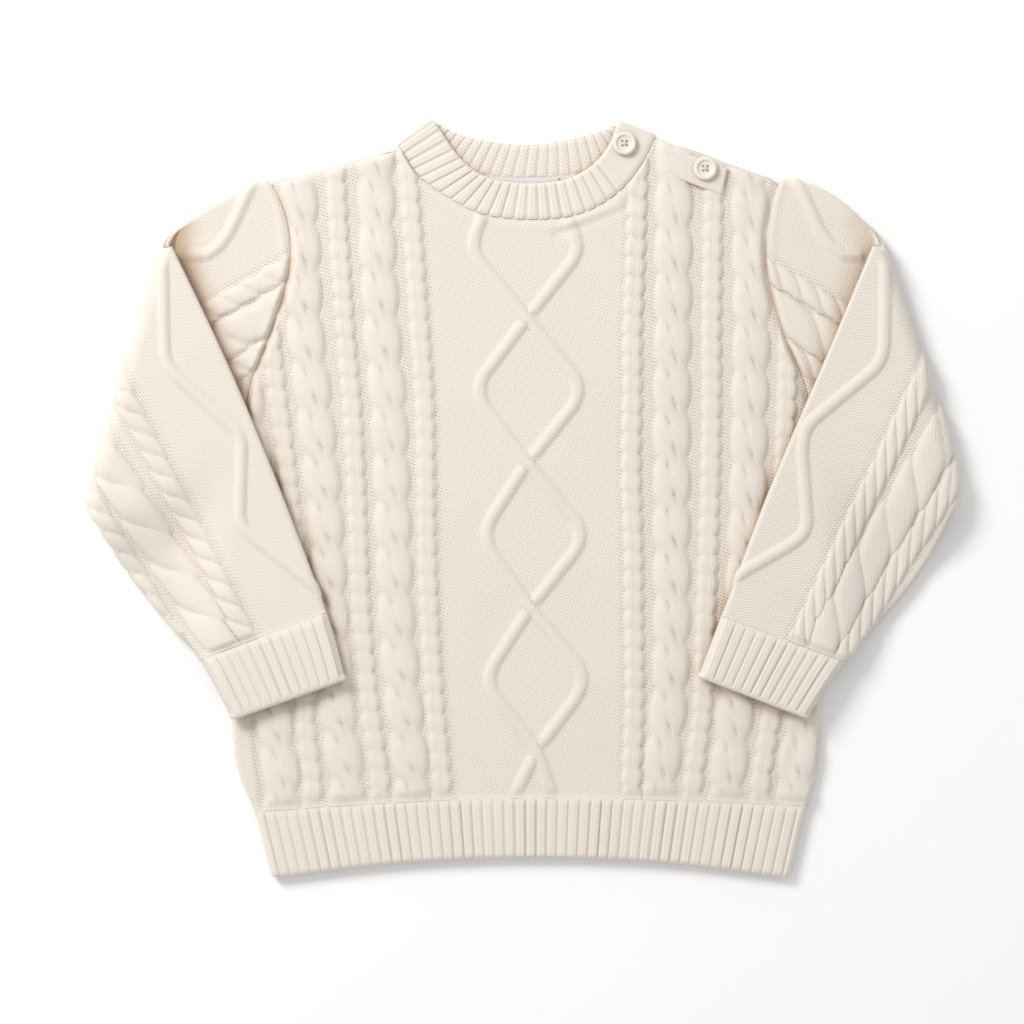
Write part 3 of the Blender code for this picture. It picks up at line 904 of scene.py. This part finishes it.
def v_stitches(n, across, down):
    """Wales of V stitches, for knit faces."""
    off = n.math("ABSOLUTE", n.minus(n.math("FRACT", n.math("DIVIDE", across, WALE)), 0.5))
    ridge = n.minus(1.0, n.math("POWER", n.times(off, 2.0), 3.0))
    legs = n.math("SINE", n.add(n.times(down, 2 * math.pi / STITCH), n.times(off, 7.0)))
    return n.add(n.times(ridge, 0.30), n.times(legs, 0.09))


def purl_grain(n, x, y, deep):
    """Slanting dashes of the purl ground, stronger in the channels between cables."""
    warp = n.add(n.times(n.noise(0.12), 2.5), n.times(n.noise(0.7), 2.4))
    row_phase = n.add(warp, n.phase(x, y, 120, 1.32))
    dash_phase = n.add(n.phase(x, y, 30, 2.4), n.times(row_phase, 0.5))
    dashes = n.math("MULTIPLY_ADD", n.math("SINE", dash_phase), 0.5, 0.5)
    rows = n.times(n.math("SINE", row_phase), dashes)
    return n.math("MULTIPLY_ADD", rows, n.math("MULTIPLY_ADD", deep, 0.25, 0.30), 0.3)


def knit_material():
    """Ivory yarn, mixed towards tan as painted shade in the purl grain's pits, in occluded hollows
    and beside the folds.
    """
    n = Nodes("ivory_knit", 0.9)
    n.shader.inputs["Sheen Weight"].default_value = 0.2
    n.shader.inputs["Sheen Roughness"].default_value = 0.6
    n.shader.inputs["Specular IOR Level"].default_value = 0.25
    across, down, face = n.attribute("stitch")
    purl = n.minus(1.0, face)
    grain = purl_grain(n, *n.attribute("ground"))
    stitches = n.add(n.times(v_stitches(n, across, down), face), n.times(grain, purl))
    n.bump(n.add(stitches, n.times(n.noise(2.0, 3.0), 0.45)), 0.38)
    # Painted shade in the low spots of the purl grain, stronger in the deep channels between cables
    purl_pit_shade = n.times(n.minus(0.3, grain), purl)
    # Painted shade: tan from the ambient occlusion node, the purl pits and the fold hollows
    shade = n.add(n.times(n.hollow(12.0), 1.25), n.times(purl_pit_shade, 0.45), n.attribute("painted_shade")[0])
    patches = n.colour_mix(n.noise(0.035), tinted(IVORY, 0.97), tinted(IVORY, 1.02))
    n.colour(n.colour_mix(n.math("MAXIMUM", shade, 0.0), patches, PAINTED_SHADE_TAN))
    return n.material


def tinted(colour, share):
    return tuple(c * share for c in colour)


def button_material():
    n = Nodes("cream_button", 0.38)
    n.shader.inputs["Coat Weight"].default_value = 0.15
    n.colour(n.colour_mix(n.noise(0.35, 4.0), tinted(BUTTON_CREAM, 0.93), BUTTON_CREAM))
    n.bump(n.noise(1.2, 3.0), 0.03)
    return n.material


def thread_material():
    n = Nodes("cream_thread", 0.8)
    n.colour(n.colour_mix(n.noise(3.0), tinted(THREAD, 0.85), THREAD))
    n.bump(n.noise(4.0, 2.0), 0.12)
    return n.material


def label_material():
    """Blank satin label: fine woven ribs."""
    n = Nodes("blank_label", 0.55)
    across, down = n.attribute("stitch")[:2]
    n.colour(n.colour_mix(n.noise(0.4), tinted(LABEL, 0.94), LABEL))
    n.bump(n.math("SINE", n.phase(across, down, 90, 0.5)), 0.05)
    return n.material


def floor_material():
    n = Nodes("pale_floor", 0.85)
    n.shader.inputs["Specular IOR Level"].default_value = 0.1
    n.colour(n.colour_mix(n.noise(0.004), FLOOR_DARKER, FLOOR_LIGHTER))
    return n.material


# --- Pieces ---
def seam_dip(distance, depth=0.9, roll=0.35):
    """Cloth sinks into a seam and swells a little beside it."""
    return roll * bell((distance - 5) / 2.6) - depth * bell(distance / 1.9)


def body_panel(name, face, finish, columns, rows):
    rim = (0.0, 0.12, 0.4, 0.9, 1.7, 2.6)
    u, v = rimmed(columns, rim, BODY_WIDTH), rimmed(rows, rim, BODY_HEIGHT)
    base, edges = panel_surface(face, u, v)
    x, y = base[..., 0], base[..., 1]
    if face == "front":
        relief = front_relief(x, y)
        extra = creases(x, y, FRONT_CREASES)
    else:
        relief = Relief(x, y).all_knit()
        extra = GROUND_DROP + creases(x, y, BACK_CREASES)
    relief.height *= ease(np.minimum(edges["side"], edges["top"]) / 3.0)
    relief.height *= mix(0.08, 1.0, ease(edges["hem"] / 6.5))
    extra += 0.45 * (1 - ease(edges["hem"] / 2.5)) + edges["armhole"] * seam_dip(edges["side"])
    extra += seam_dip(edges["top"], 0.5, 0.2)
    extra *= 1 - (1 - edges["armhole"]) * (1 - ease(edges["side"] / 3))
    return cloth(name, base, relief, extra, finish)


def hem_rib(name, face, finish, columns, rows):
    u = rimmed(columns, (0.0, 0.12, 0.4, 0.9, 1.5), HEM_WIDTH)
    t = rimmed(rows, (0.0, 0.3, 0.8, 1.5), HEM_DEPTH)
    u, t = np.meshgrid(u, t)
    to_side = np.minimum(u, 1 - u) * HEM_WIDTH
    to_edge = t * HEM_DEPTH
    top_x = mix(HEM_SEAM[0][0], HEM_SEAM[-1][0], u)
    edge_x = mix(HEM_EDGE[0][0], HEM_EDGE[-1][0], u)
    x = mix(edge_x, top_x, t)
    y = mix(along(HEM_EDGE, edge_x), along(HEM_SEAM, top_x), t)
    z = mix(*levels(face, x, y), quarter_round(to_side, LAYER / 2))
    relief = Relief(x, y).all_knit()
    ribs = RIB_HEIGHT * rib_height(u * HEM_RIBS, 6.0) * ease(to_side / 4)
    ribs = ribs * (1 - 0.7 * bell(to_edge))
    relief.height = mix(0.72, ribs, ease((HEM_DEPTH - to_edge) / 3.0))
    relief.across = u * HEM_RIBS * RIB_STITCHES
    if face == "back":
        relief.height *= 0.5
    edge = -1.2 * (1 - quarter_round(to_edge, 1.8))
    return cloth(name, np.dstack([x, y, z]), relief, edge - 0.25, finish)


def sleeve_relief(name, base, unfolded, stage, low_side):
    """Relief of the upper arm's top, and past the fold that of the forearm's other side."""
    fore = forearm_relief(name, unfolded)
    fore.blend_out(low_side * ease(stage * 2.5))
    cap = cap_relief(name, base[..., :2])
    cap.blend_out((1 - low_side) * ease(1 - stage * 2.5))
    on_fore = (low_side > 0.5) & (stage > 0.15)
    relief = Relief(base[..., 0], base[..., 1])
    for part in ("height", "face", "across", "along", "deep"):
        setattr(relief, part, np.where(on_fore, getattr(fore, part), getattr(cap, part)))
    relief.ground = np.where(on_fore[..., None], fore.ground, cap.ground)
    return relief


def sleeve(name, finish):
    loop = Loop(high=104, low=136, end=6)
    upper_t = np.linspace(0, 1, 77)[:-1]
    turns = np.linspace(0, math.pi, 25)[:-1]
    fore_t = np.linspace(0, 3, 205)
    parts = [
        upper_arm_rings(name, loop, upper_t),
        fold_rings(name, loop, turns),
        forearm_rings(name, loop, fore_t),
    ]
    base, unfolded = [np.concatenate(rings) for rings in zip(*parts)]
    stage = np.concatenate([0 * upper_t, turns / math.pi, 1 + 0 * fore_t])[:, None]
    relief = sleeve_relief(name, base, unfolded, stage, ease(0.5 - loop.lift / 1.6)[None, :])
    to_armhole = np.full_like(stage, FAR)
    to_armhole[:len(upper_t), 0] = np.linspace(0, UPPER_ARM, len(upper_t))
    to_cuff = np.full_like(stage, FAR)
    to_cuff[-len(fore_t):, 0] = (3 - fore_t) * FOREARM_ROW
    hollow = fold_hollow(name, base[..., :2]) * ease((loop.lift + 0.2) / 0.8)
    past_fold = np.concatenate([0 * upper_t, 0 * turns, ease(fore_t / 0.2)])[:, None]
    hidden = ease((loop.lift - 0.6) / 0.4) * past_fold
    # Painted shade: tan in the hollow beside the fold, where the folded forearm shades the upper
    # arm
    relief.painted_shade = 0.9 * hollow
    at_cuff = mix(0.08, 1.0, ease(to_cuff / 8.0))
    relief.height *= (1 - 0.6 * hollow) * ease(to_armhole / 2.5) * at_cuff
    extra = seam_dip(to_armhole) + 0.4 * (1 - ease(to_cuff / 2.5)) + GROUND_DROP * hidden
    extra = extra - 1.3 * hollow * ease(1 - 2.0 * stage)
    return cloth("knit_" + name, base, relief, extra, finish, wall=LINING_DEPTH, wrap=True)


def cuff(name, sleeve_name, finish):
    loop = Loop(high=118, low=130, end=4)
    t = np.linspace(CUFF_START, 4.0, 41)[:, None]
    base, _ = forearm_rings(sleeve_name, loop, t[:, 0])
    to_edge = (4.0 - t) * CUFF_DEPTH
    to_seam = (t - CUFF_START) * CUFF_DEPTH
    low_side = ease(0.5 - loop.lift / 1.6)
    ribs = RIB_HEIGHT * (0.1 + 0.9 * rib_height(loop.span * CUFF_RIBS, 7.0))
    ribs = ribs * (0.45 + 0.55 * low_side)
    ribs = mix(RIB_HEIGHT * 0.75, ribs, ease((to_edge - 1.3) / 1.8))
    relief = Relief(base[..., 0], base[..., 1]).all_knit()
    relief.height = mix(0.4, ribs, ease(to_seam / 3.0))
    relief.across[:] = loop.span * CUFF_RIBS * RIB_STITCHES * np.where(loop.lift > 0, 1.0, -1.0)
    relief.along[:] = to_edge
    edge = -1.3 * (1 - quarter_round(to_edge, 2.2)) - (1 - low_side) * 0.5
    return cloth(name, base, relief, edge, finish, wrap=True)


def band_rows(table, t, depth, height):
    rows = section(table, t)[:, None, :]
    plan = mix(rows[..., :2], rows[..., 2:], depth[None, :, None])
    x, y = plan[..., 0], plan[..., 1]
    z = height + dome(x, y) * (height > 0)
    return np.dstack([x, y, z])


def band_fold(turn, depth):
    row = np.array(BAND_FRONT[0])
    run = unit(row[2:] - row[:2])
    outward = np.array([-run[1], run[0]])
    plan = mix(row[:2], row[2:], depth[:, None]) + outward * BAND_FOLD * np.sin(turn)[:, None, None]
    x, y = plan[..., 0], plan[..., 1]
    z = BAND_FOLD * (1 - np.cos(turn))[:, None] + dome(x, y) * turn[:, None] / math.pi
    return np.dstack([x, y, z])


def neckband(finish):
    depth = rimmed(25, (0.0, 0.25, 0.7, 1.3), BAND_DEPTH)
    middle = len(depth) // 2
    base = np.concatenate([
        band_rows(BAND_BACK, np.linspace(4, 0, 241)[:-1], depth, 0.0),
        band_fold(np.linspace(0, math.pi, 21)[:-1], depth),
        band_rows(BAND_FRONT, np.linspace(0, 8, 321), depth, LAYER),
    ])
    steps = np.linalg.norm(np.diff(base[:, middle], axis=0), axis=1)
    run = np.concatenate([[0], np.cumsum(steps)])[:, None]
    to_sewn = depth * BAND_DEPTH
    to_free = BAND_DEPTH - to_sewn
    ribbed = ease((run[-1] - run - 20) / 10)
    outer = mix(0.85, rib_height(run / BAND_RIB, 5.0), ribbed)
    inner = mix(0.8, rib_height(run / BAND_RIB + 0.5, 5.0), ribbed)
    relief = Relief(base[..., 0], base[..., 1]).all_knit()
    relief.height = 0.8 * RIB_HEIGHT * outer * (1 - 0.75 * bell(to_free / 0.9))
    relief.across[:] = run / BAND_RIB * RIB_STITCHES
    relief.along[:] = to_sewn
    extra = -0.7 * bell(to_sewn) - 0.6 * (1 - quarter_round(to_free, 1.5))
    normal = normals_of(base, False)
    normal = normal * np.sign(normal[-1, middle, 2])
    rise = (0.9 * inner - 0.5 - 0.7 * bell(to_free / 1.2)) * ease(to_sewn / 2.0)
    lining = base - normal * (BAND_WALL + rise - 0.2)[..., None]
    return cloth("knit_neckband", base, relief, extra - 0.2, finish, coarse=1, lining=lining)


def shoulder_tab(finish):
    down = rimmed(33, (0.0, 0.3, 0.8, 1.5), TAB_DEPTH)
    start = LAYER / 2 + 0.2
    _, tip_right, tip_left = BODY_SIDES[-1]
    x = np.linspace(*TAB_SIDES, 57)
    u = (x - tip_right) / (tip_left - tip_right)
    v = 1 - (start + (TAB_DEPTH - start) * (1 - down)) / BODY_HEIGHT
    base, _ = panel_surface("front", u, v)
    base[..., 2] += SEAM + TAB_WALL
    relief = Relief(base[..., 0], base[..., 1]).all_knit()
    sides = np.minimum(x - TAB_SIDES[0], TAB_SIDES[1] - x)[None, :]
    ends = (np.minimum(down, 1 - down) * TAB_DEPTH)[:, None]
    edge = np.minimum(sides, ends)
    extra = GROUND_DROP - 0.9 * (1 - quarter_round(edge, 1.6)) + 0.25 * ease(edge / 6)
    return cloth("knit_shoulder_tab", base, relief, extra, finish, wall=TAB_WALL)


def neck_label(finish):
    low, high = LABEL_EDGES
    x, y = np.meshgrid(np.linspace(-LABEL_HALF, LABEL_HALF, 41), np.linspace(low, high, 25))
    z = WALL + 0.3 + LABEL_WALL + 0.15 * np.sin(x / 5.0) * ease((y - low) / 14)
    base = np.dstack([x, y, z])
    relief = Relief(x, y)
    stitches = 0.12 * bell((y - high + 1) / 0.4) * np.sin(x * 2 * np.pi / 1.6)
    return cloth("blank_neck_label", base, relief, GROUND_DROP + stitches, finish, wall=LABEL_WALL)


def button_profile():
    """Half section of a button with a raised rim, from the middle of its top to its base's."""
    profile = [(0.0, 1.62), (2.6, 1.66), (3.3, 1.78)]
    for k in range(9):
        angle = math.pi * (1 - k / 8)
        profile.append((4.7 + 1.0 * math.cos(angle), 2.0 + 0.62 * math.sin(angle)))
    for k in range(1, 7):
        angle = math.pi / 2 * k / 6
        profile.append((5.0 + 1.0 * math.cos(angle), 1.4 - 1.2 * math.sin(angle)))
    return profile + [(4.4, 0.0), (0.0, 0.0)]


def drill(x, y):
    """Upright bar that cuts a thread hole."""
    turns = [2 * math.pi * k / HOLE_SIDES for k in range(HOLE_SIDES)]
    ring = [((x + HOLE_RADIUS * math.cos(a)) * MM, (y + HOLE_RADIUS * math.sin(a)) * MM)
            for a in turns]
    low = list(range(HOLE_SIDES))
    high = [k + HOLE_SIDES for k in low]
    sides = [(k, low[k - HOLE_SIDES + 1], high[k - HOLE_SIDES + 1], high[k]) for k in low]
    mesh = bpy.data.meshes.new("drill")
    points = [(px, py, z * MM) for z in (-4, 4) for px, py in ring]
    mesh.from_pydata(points, [], sides + [low[::-1], high])
    return linked("drill", mesh)


def sewing_thread(name, centre, finish):
    """Two crossed stitches through the four holes."""
    curve = bpy.data.curves.new(name + "_thread", "CURVE")
    curve.dimensions = "3D"
    curve.bevel_depth = 0.3 * MM
    curve.bevel_resolution = 3
    curve.use_fill_caps = True
    for k, lift in ((0, 0.0), (1, 0.25)):
        spline = curve.splines.new("POLY")
        spline.points.add(8)
        for point, f in zip(spline.points, np.linspace(0, 1, 9)):
            x, y = mix(np.array(HOLES[k]), np.array(HOLES[k + 2]), f)
            arch = max(0.0, math.sin(math.pi * f))
            point.co = (x * MM, y * MM, (0.9 + 1.15 * arch ** 0.5 + lift * arch) * MM, 1)
    curve.materials.append(finish)
    sewing = linked(name + "_thread", curve)
    sewing.location = centre
    return sewing


def turned_button(name, finish, thread, base_z):
    """Turned four-hole button, and its sewing thread."""
    x, y = BUTTONS[name]
    centre = np.array([(x + CENTRE_SHIFT[0]) * MM, (y + CENTRE_SHIFT[1]) * MM, base_z * MM])
    points = [(r * MM, 0, z * MM) for r, z in button_profile()]
    mesh = bpy.data.meshes.new(name)
    mesh.from_pydata(points, [(k, k + 1) for k in range(len(points) - 1)], [])
    blank = linked(name + "_blank", mesh)
    turn = blank.modifiers.new("Turned profile", "SCREW")
    turn.steps = turn.render_steps = 96
    turn.use_merge_vertices = True
    turn.merge_threshold = 0.00001
    drills = [drill(*hole) for hole in HOLES]
    for tool in drills:
        cut = blank.modifiers.new("Thread hole", "BOOLEAN")
        cut.operation = "DIFFERENCE"
        cut.solver = "EXACT"
        cut.object = tool
    bpy.context.view_layer.update()
    evaluated = blank.evaluated_get(bpy.context.evaluated_depsgraph_get())
    made = bpy.data.meshes.new_from_object(evaluated)
    for tool in (blank, *drills):
        bpy.data.objects.remove(tool, do_unlink=True)
    made.name = name
    made.shade_smooth()
    made.set_sharp_from_angle(angle=math.radians(38))
    made.materials.clear()
    made.materials.append(finish)
    item = linked("turned_" + name, made)
    item.location = centre
    return item, sewing_thread(name, centre, thread)


def key_light():
    data = bpy.data.lights.new("key", "AREA")
    data.shape = "DISK"
    data.size = KEY_SIZE
    data.energy = KEY_POWER
    data.color = KEY_COLOUR
    item = linked("key", data)
    item.location = KEY_PLACE
    item.rotation_euler = (-Vector(KEY_PLACE)).to_track_quat("-Z", "Y").to_euler()


def studio():
    """Pale floor, soft light from the upper left and the camera straight above."""
    half = 3.0
    corners = [(-half, -half, 0), (half, -half, 0), (half, half, 0), (-half, half, 0)]
    mesh = bpy.data.meshes.new("floor")
    mesh.from_pydata(corners, [], [(0, 1, 2, 3)])
    mesh.materials.append(floor_material())
    floor = linked("floor", mesh)
    floor.location.z = -0.0002
    world = bpy.data.worlds.new("studio")
    world.use_nodes = True
    sky = world.node_tree.nodes["Background"]
    sky.inputs["Color"].default_value = (1.0, 1.0, 1.0, 1)
    sky.inputs["Strength"].default_value = SKY_STRENGTH
    bpy.context.scene.world = world
    key_light()
    scene = bpy.context.scene
    scene.view_settings.view_transform = "Standard"
    data = bpy.data.cameras.new("camera")
    data.sensor_width = 36.0
    data.lens = data.sensor_width * CAMERA_HEIGHT / VIEW_WIDTH
    camera = linked("camera", data)
    over_x, over_y = (CENTRE_SHIFT[0] - 6.5) * MM, (CENTRE_SHIFT[1] - 6) * MM
    camera.location = (over_x, over_y, CAMERA_HEIGHT + 0.007)
    scene.camera = camera


def place(item, node, slot):
    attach(item, "root")
    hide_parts(node)
    return item


def body(knit):
    front = place(body_panel("knit_front_panel", "front", knit, 325, 277), "front_panel", "knit")
    back = place(body_panel("back_knit_panel", "back", knit, 121, 137), "back_panel", "knit")
    front_rib = place(hem_rib("knit_front_hem_rib", "front", knit, 521, 29), "front_hem_rib", "rib")
    back_rib = place(hem_rib("back_knit_hem_rib", "back", knit, 521, 29), "back_hem_rib", "rib")
    return front, back


def main():
    knit = knit_material()
    front, back = body(knit)
    for name in SLEEVES:
        cuff_name = name.replace("sleeve", "cuff")
        arm = place(sleeve(name, knit), name, "knit")
        wrist = place(cuff("knit_" + cuff_name, name, knit), cuff_name, "rib")
    band = place(neckband(knit), "neckband", "rib")
    tab = place(shoulder_tab(knit), "shoulder_tab", "knit")
    label = place(neck_label(label_material()), "neck_label", "label")
    cream = button_material()
    thread = thread_material()
    for name, under in (("button_neck", SEAM), ("button_shoulder", 2 * SEAM + TAB_WALL)):
        base_z = LAYER + float(dome(*BUTTONS[name])) + under
        disc, sewing = turned_button(name, cream, thread, base_z)
        place(disc, name, "button")
        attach(sewing, "root")


main()
studio()
